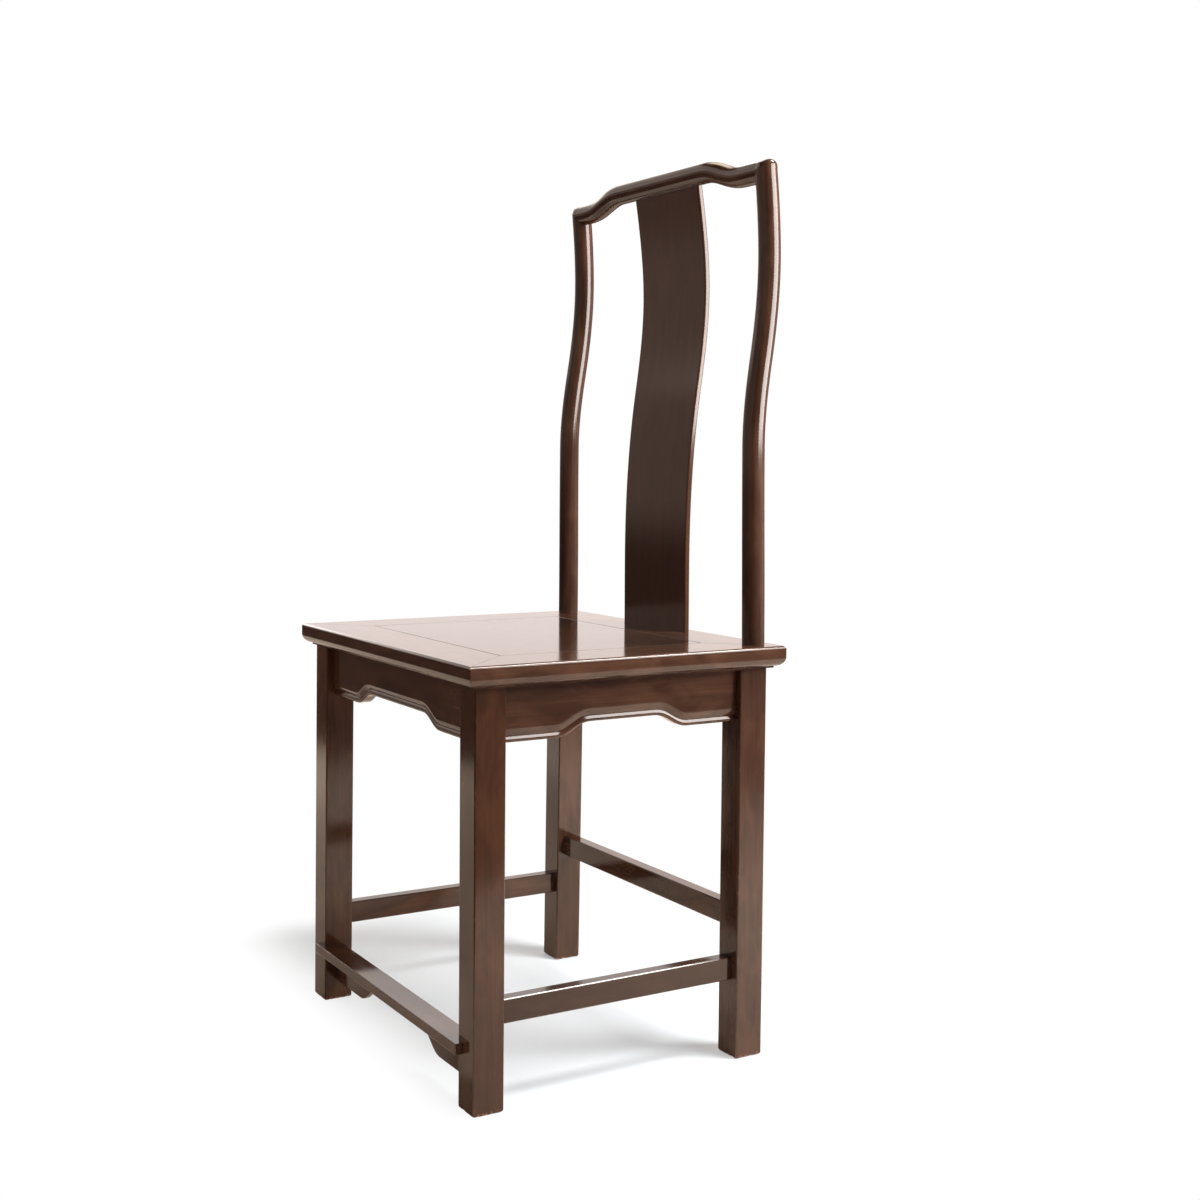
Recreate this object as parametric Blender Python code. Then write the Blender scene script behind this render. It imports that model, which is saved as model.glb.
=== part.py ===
# Side chair in stained hardwood: a mitred seat frame with a floating panel, square legs, a footrest
# and stepped stretchers below, and two S-curved posts, a splat and a crest rail above.
import math
from collections import defaultdict

import bmesh
import bpy
from mathutils import Vector

# Driving dimensions, in metres. +X is the sitter's left, -Y the front, +Z up, the origin on the floor.
CLEARANCE = 0.0003  # gap between neighbouring pieces

# Seat frame
SEAT_HEIGHT = 0.500
SEAT_WIDTH = 0.504
SEAT_DEPTH = 0.418
RAIL_WIDTH = 0.073
RAIL_ARRIS = 0.003  # radius of the upper outer edge
RAIL_FACE = 0.0133  # depth of the upright outer face, arris included
RAIL_UNDERCUT = 0.0106  # how far the moulding draws in
RAIL_UNDERCURVE = 0.0110  # height of the moulding's lower curve
RAIL_FILLET = 0.0022  # upright band under the curve
GROOVE_DEPTH = 0.0085  # groove in the rails' inner edges
MITRE_TENON = 0.008  # thickness of the tenon inside each mitre
MITRE_WALL = 0.006  # wood left on either side of it
MITRE_COVER = 0.022  # wood left outside its tip

# Seat panel and battens
PANEL_THICKNESS = 0.012
PANEL_TONGUE = 0.006
PANEL_REVEAL = 0.0008  # open line between panel and frame
BATTEN_WIDTH = 0.028
BATTEN_THICKNESS = 0.013
BATTEN_SPACING = 0.150
BATTEN_TENON = 0.012  # length of the batten's tenons
BATTEN_SHOULDER = 0.0035  # step round each of them
DOVETAIL_NECK = 0.014
DOVETAIL_FLARE = 0.002
DOVETAIL_HEIGHT = 0.004

# Legs and posts
LEG_SIZE = 0.038
LEG_ARRIS = 0.0025
LEG_SIDE_SET = 0.0358  # leg centre in from the seat's side edge
FRONT_LEG_SET = 0.0332  # leg centre in from the seat's front edge
REAR_LEG_SET = 0.0354  # leg centre in from the seat's back edge
LEG_SPLAY = 0.0051  # the feet stand this far outside the leg tops
FRONT_LEG_RAKE = 0.0054  # the front feet stand this far ahead of their tops
REAR_LEG_RAKE = -0.0030  # the rear feet stand a little ahead of theirs too
FOOT_CHAMFER = 0.0015
STUB_SIZE = 0.016  # square tenon on each front leg
STUB_HEIGHT = 0.014
POST_DIAMETER = 0.0262
POST_OFFSET = 0.0070  # post centre out from the leg centre, both ways
POST_LEAN_IN = 0.0076  # the post tops stand this far inside the post feet
BACK_RISE = 0.558  # seat top to the crest rail's end axis
# Set-back of the post's axis: share of the rise, set-back in metres, set-back per unit of share
POST_CURVE = (
    (0.0, 0.0, 0.0),
    (0.42, -0.0014, 0.0),
    (0.60, 0.0082, 0.092),
    (0.82, 0.0200, 0.0),
    (1.0, 0.0142, -0.056),
)
# Root of the post in the leg: height over the leg's top, share of the offset, share of the radius
POST_ROOT = ((-0.008, 0.5, 0.70), (0.0, 0.8, 0.86))
POST_START = 0.010  # over the seat frame's underside, where the post reaches its full size
DOME_ANGLES = (25, 48, 66, 80)  # degrees up the post's rounded top

# Crest rail and splat
CREST_DIAMETER = 0.0256
CREST_RAISE = 0.0155  # the middle stands this far above the ends
CREST_SHOULDER = 0.0310  # level stretch beside each post
CREST_OGEE = 0.094
CREST_TENON = 0.010
CREST_TENON_REACH = 0.003  # past the post's axis
SPLAT_WIDTH = 0.147
SPLAT_THICKNESS = 0.008
SPLAT_OFFSET = 0.0012  # splat's front face behind the post axis at the seat
SPLAT_HOUSING = 0.012  # depth let into the seat
SPLAT_ENTRY = 0.008  # depth let into the crest rail
SPLAT_CURVE = (
    (0.0, 0.0, 0.0),
    (0.16, -0.0003, 0.0),
    (0.555, 0.0144, 0.084),
    (0.77, 0.0257, 0.0),
    (1.03, 0.0100, -0.092),
)

# Aprons under the seat
APRON_THICKNESS = 0.016
APRON_SET = 0.009  # face in from the legs' outer faces
APRON_DEPTH = 0.0635
APRON_RISE = 0.0155
APRON_SHOULDER = 0.065  # level stretch beside each leg, on the side aprons
END_APRON_SHOULDER = 0.073  # the same on the front and back aprons
APRON_OGEE = 0.051
BEAD_HEIGHT = 0.005
BEAD_PROUD = 0.002
APRON_TENON = 0.008
APRON_TENON_HEIGHT = 0.022

# Footrest, its apron and the stretchers
FOOTREST_TOP = 0.077
FOOTREST_THICKNESS = 0.0127
FOOTREST_DEPTH = 0.032
FOOTREST_PROUD = 0.0096  # front edge ahead of the legs
FOOTREST_LAP = 0.011  # the lip's reach across each leg's front
FOOTREST_ARRIS = 0.002
FOOTREST_TENON = 0.006
FOOTREST_TENON_WALL = 0.005
FOOTREST_APRON_SET = 0.0155
FOOTREST_APRON_THICKNESS = 0.007
FOOTREST_APRON_DEPTH = 0.038
FOOTREST_APRON_RISE = 0.022
FOOTREST_APRON_SHOULDER = 0.080
FOOTREST_APRON_OGEE = 0.055
FOOTREST_APRON_TENON = 0.0035
FOOTREST_APRON_TENON_HEIGHT = 0.019
STRETCHER_WIDTH = 0.0166
STRETCHER_HEIGHT = 0.028
STRETCHER_ARRIS = 0.0015
STRETCHER_SHOULDER = 0.004  # step round each tenon
SIDE_STRETCHER_TOP = 0.1247
BACK_STRETCHER_TOP = 0.1816
TENON_SHARE = 0.34  # share of the leg that a tenon enters

# Facets
POST_RINGS = 30
CREST_RINGS = 36
SPLAT_STEPS = 22
OGEE_STEPS = 8
ARRIS_STEPS = 3
UNDERCURVE_STEPS = 5
ROUND_SIDES = 4  # bevel resolution of the round pieces
ROOT = 0.004  # how far a tenon's block reaches back into its own piece
TOUCH = 1e-6  # points closer than this are one
ALIGNED = 0.95  # an edge whose cosine to an axis is over this runs along it

# Finish
STAIN = (0.060, 0.029, 0.018)
SPLAT_STAIN = (0.050, 0.026, 0.018)
LACQUER_ROUGHNESS = 0.32

# Derived dimensions
HALF_WIDTH = SEAT_WIDTH / 2
HALF_DEPTH = SEAT_DEPTH / 2
RAIL_THICKNESS = RAIL_FACE + RAIL_UNDERCURVE + RAIL_FILLET
SEAT_UNDERSIDE = SEAT_HEIGHT - RAIL_THICKNESS
LEG_TOP = SEAT_UNDERSIDE - CLEARANCE
CREST_END_HEIGHT = SEAT_HEIGHT + BACK_RISE
CREST_MID_HEIGHT = CREST_END_HEIGHT + CREST_RAISE
POST_RADIUS = POST_DIAMETER / 2
CREST_RADIUS = CREST_DIAMETER / 2
TENON_LENGTH = TENON_SHARE * LEG_SIZE
PANEL_UNDERSIDE = SEAT_HEIGHT - PANEL_THICKNESS
FOOTREST_UNDERSIDE = FOOTREST_TOP - FOOTREST_THICKNESS

LEFT, RIGHT = 1, -1
FRONT, REAR = -1, 1
SIDE_NAMES = {LEFT: "left", RIGHT: "right"}
END_NAMES = {FRONT: "front", REAR: "rear"}
CORNERS = ((-1, -1), (1, -1), (1, 1), (-1, 1))

tenons = defaultdict(list)
mortises = defaultdict(list)


def clear_scene():
    for item in list(bpy.data.objects):
        bpy.data.objects.remove(item, do_unlink=True)


def stained_wood(name, colour):
    material = bpy.data.materials.new(name + "_wood")
    material.use_nodes = True
    shader = material.node_tree.nodes["Principled BSDF"]
    shader.inputs["Base Color"].default_value = (*colour, 1.0)
    shader.inputs["Roughness"].default_value = LACQUER_ROUGHNESS
    shader.inputs["Metallic"].default_value = 0.0
    return material


def piece(name, bm, origin, colour=STAIN):
    """One named object whose mesh is given in the chair's frame and whose origin is set at a point."""
    bmesh.ops.remove_doubles(bm, verts=bm.verts, dist=TOUCH)
    bmesh.ops.recalc_face_normals(bm, faces=bm.faces)
    bmesh.ops.translate(bm, verts=bm.verts, vec=-Vector(origin))
    mesh = bpy.data.meshes.new(name)
    bm.to_mesh(mesh)
    bm.free()
    made = bpy.data.objects.new(name, mesh)
    made.location = origin
    made.parent = chair
    mesh.materials.append(stained_wood(name, colour))
    bpy.context.collection.objects.link(made)
    return made


def tool(name, bm):
    """A hidden body that only adds to or cuts into other pieces."""
    made = piece(name, bm, (0, 0, 0))
    made.hide_render = True
    made.display_type = 'WIRE'
    return made


def boolean(target, body, operation):
    modifier = target.modifiers.new(body.name, 'BOOLEAN')
    modifier.operation = operation
    modifier.solver = 'EXACT'
    modifier.object = body


def blocks(boxes):
    bm = bmesh.new()
    for low, high in boxes:
        made = bmesh.ops.create_cube(bm, size=1.0)["verts"]
        bmesh.ops.scale(bm, verts=made, vec=Vector(high) - Vector(low))
        bmesh.ops.translate(bm, verts=made, vec=(Vector(high) + Vector(low)) / 2)
    return bm


def prism(outline, extent):
    """A flat outline drawn out along a vector."""
    bm = bmesh.new()
    face = bm.faces.new([bm.verts.new(point) for point in outline])
    grown = bmesh.ops.extrude_face_region(bm, geom=[face])
    moved = [item for item in grown["geom"] if isinstance(item, bmesh.types.BMVert)]
    bmesh.ops.translate(bm, verts=moved, vec=extent)
    return bm


def soften(bm, width, segments, wanted):
    """Bevel the edges that a test picks."""
    edges = [edge for edge in bm.edges if wanted(edge)]
    bmesh.ops.bevel(bm, geom=edges, offset=width, segments=segments, profile=0.5, affect='EDGES')


def runs_along(axis):
    def test(edge):
        step = edge.verts[1].co - edge.verts[0].co
        return abs(step[axis]) > ALIGNED * step.length
    return test


def add_tenon(name, host, low, high, axis, way):
    """A rectangular tenon that points along an axis, and the mortise that takes it."""
    root_low, root_high = list(low), list(high)
    hole_low = [value - CLEARANCE for value in low]
    hole_high = [value + CLEARANCE for value in high]
    if way > 0:
        root_low[axis] -= ROOT
        hole_low[axis] -= ROOT
    else:
        root_high[axis] += ROOT
        hole_high[axis] += ROOT
    tenons[name].append((root_low, root_high))
    mortises[host].append((hole_low, hole_high))


def leg_name(side, end):
    return f"{END_NAMES[end]}_leg_{SIDE_NAMES[side]}"


def leg_centre(side, end, z):
    """Centre of a leg's section at a height; the legs splay as they go down."""
    drop = (SEAT_HEIGHT - z) / SEAT_HEIGHT
    x = HALF_WIDTH - LEG_SIDE_SET + LEG_SPLAY * drop
    if end == FRONT:
        return Vector((side * x, -(HALF_DEPTH - FRONT_LEG_SET + FRONT_LEG_RAKE * drop), z))
    return Vector((side * x, HALF_DEPTH - REAR_LEG_SET + REAR_LEG_RAKE * drop, z))


def inner_x(side, end, z):
    """Inner side face of a leg, with the gap that its neighbour keeps."""
    return leg_centre(side, end, z).x - side * (LEG_SIZE / 2 + CLEARANCE)


def inner_y(side, end, z):
    """Inner front or back face of a leg, with the gap that its neighbour keeps."""
    return leg_centre(side, end, z).y - end * (LEG_SIZE / 2 + CLEARANCE)


def smooth_step(share):
    share = min(max(share, 0.0), 1.0)
    return share ** 3 * (10 - 15 * share + 6 * share ** 2)


def set_back(curve, share):
    """Cubic through knots of share, set-back and slope, straight beyond both ends."""
    if share <= curve[0][0]:
        return curve[0][1] + curve[0][2] * (share - curve[0][0])
    for (s0, y0, d0), (s1, y1, d1) in zip(curve, curve[1:]):
        if share <= s1:
            span = s1 - s0
            t = (share - s0) / span
            start = (2 * t ** 3 - 3 * t ** 2 + 1) * y0 + (t ** 3 - 2 * t ** 2 + t) * span * d0
            return start + (3 * t ** 2 - 2 * t ** 3) * y1 + (t ** 3 - t ** 2) * span * d1
    return curve[-1][1] + curve[-1][2] * (share - curve[-1][0])


def post_axis(side, z):
    share = (z - SEAT_HEIGHT) / BACK_RISE
    foot = leg_centre(side, REAR, SEAT_HEIGHT)
    x = foot.x + side * (POST_OFFSET - POST_LEAN_IN * share)
    return Vector((x, foot.y + POST_OFFSET + set_back(POST_CURVE, share), z))


def tube(name, points, radii):
    """A round bar along points, with a radius at each, as a mesh."""
    path = bpy.data.curves.new(name + "_path", 'CURVE')
    path.dimensions = '3D'
    path.bevel_depth = 1.0
    path.bevel_resolution = ROUND_SIDES
    path.use_fill_caps = True
    spline = path.splines.new('POLY')
    spline.points.add(len(points) - 1)
    for target, point, radius in zip(spline.points, points, radii):
        target.co = (*point, 1.0)
        target.radius = radius
    holder = bpy.data.objects.new(name + "_path", path)
    bpy.context.collection.objects.link(holder)
    bm = bmesh.new()
    bm.from_mesh(holder.to_mesh())
    holder.to_mesh_clear()
    bpy.data.objects.remove(holder, do_unlink=True)
    return bm


def post_tube(side, growth):
    """The round post: a tapered root in the leg, the S-curve, and a domed top."""
    root = leg_centre(side, REAR, LEG_TOP)
    lean = post_axis(side, LEG_TOP) - root
    points, radii = [], []
    for height, offset_share, radius_share in POST_ROOT:
        points.append(root + lean * offset_share + Vector((0, 0, height)))
        radii.append(POST_RADIUS * radius_share)
    start = SEAT_UNDERSIDE + POST_START
    for i in range(POST_RINGS + 1):
        points.append(post_axis(side, start + (CREST_END_HEIGHT - start) * i / POST_RINGS))
        radii.append(POST_RADIUS)
    for angle in DOME_ANGLES:
        turn = math.radians(angle)
        points.append(post_axis(side, CREST_END_HEIGHT) + Vector((0, 0, POST_RADIUS * math.sin(turn))))
        radii.append(POST_RADIUS * math.cos(turn))
    return tube("post", points, [radius + growth for radius in radii])


def make_legs():
    for side in (LEFT, RIGHT):
        for end in (FRONT, REAR):
            name = leg_name(side, end)
            foot = leg_centre(side, end, 0.0)
            top = leg_centre(side, end, LEG_TOP)
            half = LEG_SIZE / 2
            square = [foot + Vector((dx * half, dy * half, 0)) for dx, dy in CORNERS]
            bm = prism(square, top - foot)
            soften(bm, LEG_ARRIS, 2, runs_along(2))
            soften(bm, FOOT_CHAMFER, 1, lambda edge: max(vert.co.z for vert in edge.verts) < TOUCH)
            leg = piece(name, bm, foot)
            if end == REAR:
                boolean(leg, tool(f"post_{SIDE_NAMES[side]}_stock", post_tube(side, 0.0)), 'UNION')
            else:
                stub = Vector((STUB_SIZE / 2, STUB_SIZE / 2, 0))
                low = top - stub
                high = top + stub + Vector((0, 0, STUB_HEIGHT))
                add_tenon(name, "seat_rail_front", low, high, 2, 1)
                mortises[f"seat_rail_{SIDE_NAMES[side]}"].append(mortises["seat_rail_front"][-1])


def rail_profile():
    """Section of a seat rail as distance in from the outer edge and height from the seat's top."""
    points = []
    for i in range(ARRIS_STEPS + 1):
        turn = math.pi / 2 * i / ARRIS_STEPS
        points.append((RAIL_ARRIS * (1 - math.sin(turn)), RAIL_ARRIS * (math.cos(turn) - 1)))
    for i in range(UNDERCURVE_STEPS + 1):
        turn = math.pi / 2 * i / UNDERCURVE_STEPS
        points.append((RAIL_UNDERCUT * (1 - math.cos(turn)), -RAIL_FACE - RAIL_UNDERCURVE * math.sin(turn)))
    groove_top = -PANEL_THICKNESS + PANEL_TONGUE + CLEARANCE
    groove_bottom = -PANEL_THICKNESS - CLEARANCE
    inner = RAIL_WIDTH - GROOVE_DEPTH
    points += [(RAIL_UNDERCUT, -RAIL_THICKNESS), (RAIL_WIDTH, -RAIL_THICKNESS), (RAIL_WIDTH, groove_bottom)]
    points += [(inner, groove_bottom), (inner, groove_top), (RAIL_WIDTH, groove_top), (RAIL_WIDTH, 0.0)]
    return points


def mitre(bm, corner, normal):
    """Cut an end on a slant and close it."""
    outward = Vector(normal).normalized()
    cut = bmesh.ops.bisect_plane(bm, geom=bm.verts[:] + bm.edges[:] + bm.faces[:], dist=TOUCH / 10,
                                 plane_co=Vector(corner) - outward * CLEARANCE / 2, plane_no=outward,
                                 clear_outer=True)
    rim = [item for item in cut["geom_cut"] if isinstance(item, bmesh.types.BMEdge)]
    bmesh.ops.contextual_create(bm, geom=rim)


def make_seat_frame():
    profile = rail_profile()
    for end, name in ((FRONT, "seat_rail_front"), (REAR, "seat_rail_back")):
        outline = [Vector((-HALF_WIDTH, end * (HALF_DEPTH - u), SEAT_HEIGHT + h)) for u, h in profile]
        bm = prism(outline, Vector((SEAT_WIDTH, 0, 0)))
        for side in (LEFT, RIGHT):
            mitre(bm, (side * HALF_WIDTH, end * HALF_DEPTH, 0), (side, -end, 0))
        piece(name, bm, (0, end * HALF_DEPTH, SEAT_HEIGHT))
    for side in (LEFT, RIGHT):
        name = f"seat_rail_{SIDE_NAMES[side]}"
        outline = [Vector((side * (HALF_WIDTH - u), -HALF_DEPTH, SEAT_HEIGHT + h)) for u, h in profile]
        bm = prism(outline, Vector((0, SEAT_DEPTH, 0)))
        for end in (FRONT, REAR):
            mitre(bm, (side * HALF_WIDTH, end * HALF_DEPTH, 0), (-side, end, 0))
        piece(name, bm, (side * HALF_WIDTH, 0, SEAT_HEIGHT))
        for end, host in ((FRONT, "seat_rail_front"), (REAR, "seat_rail_back")):
            mitre_tenon(name, host, side, end)


def mitre_tenon(name, host, side, end):
    """Hidden tenon in a mitre, inboard of the leg's socket."""
    socket = LEG_SIDE_SET + STUB_SIZE / 2
    if end == REAR:
        socket = LEG_SIDE_SET - POST_OFFSET + POST_RADIUS
    xs = sorted(side * (HALF_WIDTH - t) for t in (socket + MITRE_WALL, RAIL_WIDTH - MITRE_WALL))
    ys = sorted(end * (HALF_DEPTH - t) for t in (MITRE_COVER, RAIL_WIDTH))
    under_groove = SEAT_HEIGHT - PANEL_THICKNESS - CLEARANCE
    middle = (SEAT_UNDERSIDE + under_groove) / 2
    low = (xs[0], ys[0], middle - MITRE_TENON / 2)
    high = (xs[1], ys[1], middle + MITRE_TENON / 2)
    add_tenon(name, host, low, high, 1, end)


def make_panel():
    inner_half = Vector((HALF_WIDTH - RAIL_WIDTH, HALF_DEPTH - RAIL_WIDTH, 0))
    reach = GROOVE_DEPTH - CLEARANCE
    edge = inner_half + Vector((reach, reach, 0))
    tongue_top = PANEL_UNDERSIDE + PANEL_TONGUE
    bm = blocks([((-edge.x, -edge.y, PANEL_UNDERSIDE), (edge.x, edge.y, tongue_top))])
    top = max(bm.faces, key=lambda face: face.calc_center_median().z)
    bmesh.ops.inset_individual(bm, faces=[top], thickness=reach + PANEL_REVEAL, use_even_offset=True)
    field = bmesh.ops.extrude_discrete_faces(bm, faces=[top])["faces"]
    bmesh.ops.translate(bm, verts=field[0].verts, vec=(0, 0, PANEL_THICKNESS - PANEL_TONGUE))
    panel = piece("seat_panel", bm, (0, 0, SEAT_HEIGHT))
    for side in (LEFT, RIGHT):
        groove = prism(dovetail(side, edge.y + ROOT, CLEARANCE, ROOT), Vector((0, -2 * (edge.y + ROOT), 0)))
        boolean(panel, tool(f"batten_groove_{SIDE_NAMES[side]}", groove), 'DIFFERENCE')


def dovetail(side, y, growth, below):
    """Section of a batten's dovetail; below carries it down past the panel's underside."""
    x = side * BATTEN_SPACING / 2
    neck = DOVETAIL_NECK / 2 + growth
    head = neck + DOVETAIL_FLARE
    top = PANEL_UNDERSIDE + DOVETAIL_HEIGHT + growth
    section = [(-neck, PANEL_UNDERSIDE - below), (neck, PANEL_UNDERSIDE - below), (neck, PANEL_UNDERSIDE)]
    section += [(head, top), (-head, top), (-neck, PANEL_UNDERSIDE)]
    return [Vector((x + dx, y, z)) for dx, z in section]


def make_battens():
    end_y = HALF_DEPTH - RAIL_WIDTH - CLEARANCE
    for side in (LEFT, RIGHT):
        name = f"seat_batten_{SIDE_NAMES[side]}"
        x = side * BATTEN_SPACING / 2
        half = BATTEN_WIDTH / 2
        top = PANEL_UNDERSIDE - CLEARANCE
        bottom = top - BATTEN_THICKNESS
        ridge = dovetail(side, end_y, 0.0, CLEARANCE)
        body = [Vector((x - half, end_y, top)), Vector((x - half, end_y, bottom))]
        body += [Vector((x + half, end_y, bottom)), Vector((x + half, end_y, top))]
        piece(name, prism(body + ridge[1:] + ridge[:1], Vector((0, -2 * end_y, 0))), (x, 0, bottom))
        for end, host in ((FRONT, "seat_rail_front"), (REAR, "seat_rail_back")):
            ys = sorted((end * end_y, end * (end_y + BATTEN_TENON)))
            low = (x - half + BATTEN_SHOULDER, ys[0], bottom + BATTEN_SHOULDER)
            high = (x + half - BATTEN_SHOULDER, ys[1], top - BATTEN_SHOULDER)
            add_tenon(name, host, low, high, 1, end)


def lower_edge(length, shoulder, ogee, rise):
    """Points along an apron's lower edge: level shoulders, an ogee up from each, a level middle."""
    half = length / 2
    stations = {-half, half}
    for i in range(OGEE_STEPS + 1):
        distance = shoulder + ogee * i / OGEE_STEPS
        if distance < half:
            stations |= {distance - half, half - distance}
    return [(s, rise * smooth_step((half - abs(s) - shoulder) / ogee)) for s in sorted(stations)]


def apron(name, across, ends, face, thickness, top, depth, profile, bead):
    """A board with a shaped lower edge between two legs, with a raised bead where one is given.

    across is the axis that the board runs along, ends its two end places as functions of height,
    and face the outer face's place and the way it looks on the other axis."""
    place, way = face
    bottom = top - depth
    length = ends[1](bottom) - ends[0](bottom)
    middle = (ends[1](bottom) + ends[0](bottom)) / 2
    line = lower_edge(length, *profile)

    def point(s, z, out=0.0):
        along = middle + s
        if abs(s) == length / 2:
            along = ends[s > 0](z)
        set_in = place + way * out
        return Vector((along, set_in, z)) if across == 0 else Vector((set_in, along, z))

    bm = bmesh.new()
    low = [bm.verts.new(point(s, bottom + h)) for s, h in line]
    field_line = low
    band = []
    if bead:
        field_line = [bm.verts.new(point(s, bottom + h + BEAD_HEIGHT)) for s, h in line]
        for i in range(len(line) - 1):
            band.append(bm.faces.new((low[i], low[i + 1], field_line[i + 1], field_line[i])))
    upper = [bm.verts.new(point(s, top)) for s in (length / 2, -length / 2)]
    field = bm.faces.new(field_line + upper)
    grown = bmesh.ops.extrude_face_region(bm, geom=band + [field], use_keep_orig=True)
    moved = [item for item in grown["geom"] if isinstance(item, bmesh.types.BMVert)]
    inward = [0.0, 0.0, 0.0]
    inward[1 - across] = -way * thickness
    bmesh.ops.translate(bm, verts=moved, vec=inward)
    if bead:
        proud = bmesh.ops.extrude_face_region(bm, geom=band)
        raised = [item for item in proud["geom"] if isinstance(item, bmesh.types.BMVert)]
        outward = [0.0, 0.0, 0.0]
        outward[1 - across] = way * BEAD_PROUD
        bmesh.ops.translate(bm, verts=raised, vec=outward)
        bmesh.ops.delete(bm, geom=band, context='FACES')
    return piece(name, bm, point(0.0, top))


def apron_tenon(name, host, across, shoulder, way, centre, thickness, z_low, z_high):
    along = sorted((shoulder, shoulder + way * TENON_LENGTH))
    low, high = [0.0, 0.0, z_low], [0.0, 0.0, z_high]
    low[across], high[across] = along
    low[1 - across] = centre - thickness / 2
    high[1 - across] = centre + thickness / 2
    add_tenon(name, host, low, high, across, way)


def make_aprons():
    end_profile = (END_APRON_SHOULDER, APRON_OGEE, APRON_RISE)
    side_profile = (APRON_SHOULDER, APRON_OGEE, APRON_RISE)
    middle = LEG_TOP - APRON_DEPTH / 2
    outer = LEG_SIZE / 2 - APRON_SET
    for end, name in ((FRONT, "apron_front"), (REAR, "apron_back")):
        face = leg_centre(LEFT, end, middle).y + end * outer
        ends = [lambda z, e=end: inner_x(RIGHT, e, z), lambda z, e=end: inner_x(LEFT, e, z)]
        apron(name, 0, ends, (face, end), APRON_THICKNESS, LEG_TOP, APRON_DEPTH, end_profile, True)
        low = LEG_TOP - APRON_DEPTH + BEAD_HEIGHT
        for side in (LEFT, RIGHT):
            apron_tenon(name, leg_name(side, end), 0, inner_x(side, end, middle), side,
                        face - end * APRON_THICKNESS / 2, APRON_TENON, low, low + APRON_TENON_HEIGHT)
    for side in (LEFT, RIGHT):
        name = f"apron_{SIDE_NAMES[side]}"
        face = leg_centre(side, FRONT, middle).x + side * outer
        ends = [lambda z, s=side: inner_y(s, FRONT, z), lambda z, s=side: inner_y(s, REAR, z)]
        apron(name, 1, ends, (face, side), APRON_THICKNESS, LEG_TOP, APRON_DEPTH, side_profile, True)
        high = LEG_TOP - BEAD_HEIGHT
        for end in (FRONT, REAR):
            apron_tenon(name, leg_name(side, end), 1, inner_y(side, end, middle), end,
                        face - side * APRON_THICKNESS / 2, APRON_TENON, high - APRON_TENON_HEIGHT, high)


def make_footrest():
    half_inside = inner_x(LEFT, FRONT, FOOTREST_TOP)
    leg_front = leg_centre(LEFT, FRONT, FOOTREST_UNDERSIDE).y - LEG_SIZE / 2
    front = leg_front - FOOTREST_PROUD
    rear = front + FOOTREST_DEPTH
    lip = leg_front - CLEARANCE
    reach = half_inside + FOOTREST_LAP
    half = [(reach, front), (reach, lip), (half_inside, lip), (half_inside, rear)]
    outline = half + [(-x, y) for x, y in reversed(half)]
    bm = prism([Vector((x, y, FOOTREST_UNDERSIDE)) for x, y in outline], Vector((0, 0, FOOTREST_THICKNESS)))

    def at_front(edge):
        return runs_along(0)(edge) and max(vert.co.y for vert in edge.verts) < front + TOUCH

    soften(bm, FOOTREST_ARRIS, 2, at_front)
    piece("footrest", bm, (0, front, FOOTREST_TOP))
    middle = FOOTREST_TOP - FOOTREST_THICKNESS / 2
    for side in (LEFT, RIGHT):
        xs = sorted((side * half_inside, side * (half_inside + TENON_LENGTH)))
        low = (xs[0], leg_front + FOOTREST_TENON_WALL, middle - FOOTREST_TENON / 2)
        high = (xs[1], rear - FOOTREST_TENON_WALL, middle + FOOTREST_TENON / 2)
        add_tenon("footrest", leg_name(side, FRONT), low, high, 0, side)

    top = FOOTREST_UNDERSIDE - CLEARANCE
    face = leg_front + FOOTREST_APRON_SET
    ends = [lambda z: inner_x(RIGHT, FRONT, z), lambda z: inner_x(LEFT, FRONT, z)]
    profile = (FOOTREST_APRON_SHOULDER, FOOTREST_APRON_OGEE, FOOTREST_APRON_RISE)
    apron("footrest_apron", 0, ends, (face, FRONT), FOOTREST_APRON_THICKNESS, top,
          FOOTREST_APRON_DEPTH, profile, False)
    middle = top - FOOTREST_APRON_DEPTH / 2
    half = FOOTREST_APRON_TENON_HEIGHT / 2
    for side in (LEFT, RIGHT):
        apron_tenon("footrest_apron", leg_name(side, FRONT), 0, inner_x(side, FRONT, middle), side,
                    face + FOOTREST_APRON_THICKNESS / 2, FOOTREST_APRON_TENON, middle - half, middle + half)


def stretcher(name, across, ends, centre, top, hosts):
    """A plain bar between two legs, with a tenon at each end."""
    bottom = top - STRETCHER_HEIGHT
    half = STRETCHER_WIDTH / 2

    def point(s, offset, z):
        return Vector((s, centre + offset, z)) if across == 0 else Vector((centre + offset, s, z))

    bm = bmesh.new()
    loops = []
    for place in ends:
        corners = ((-half, bottom), (half, bottom), (half, top), (-half, top))
        loop = [bm.verts.new(point(place(z), offset, z)) for offset, z in corners]
        bm.faces.new(loop)
        loops.append(loop)
    rims = [edge for edge in bm.edges]
    bmesh.ops.bridge_loops(bm, edges=rims)
    bmesh.ops.recalc_face_normals(bm, faces=bm.faces)
    soften(bm, STRETCHER_ARRIS, 1, runs_along(across))
    piece(name, bm, point(0.0, 0.0, bottom))
    middle = (top + bottom) / 2
    for place, way, host in zip(ends, (-1, 1), hosts):
        apron_tenon(name, host, across, place(middle), way, centre, STRETCHER_WIDTH - 2 * STRETCHER_SHOULDER,
                    bottom + STRETCHER_SHOULDER, top - STRETCHER_SHOULDER)


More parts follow.
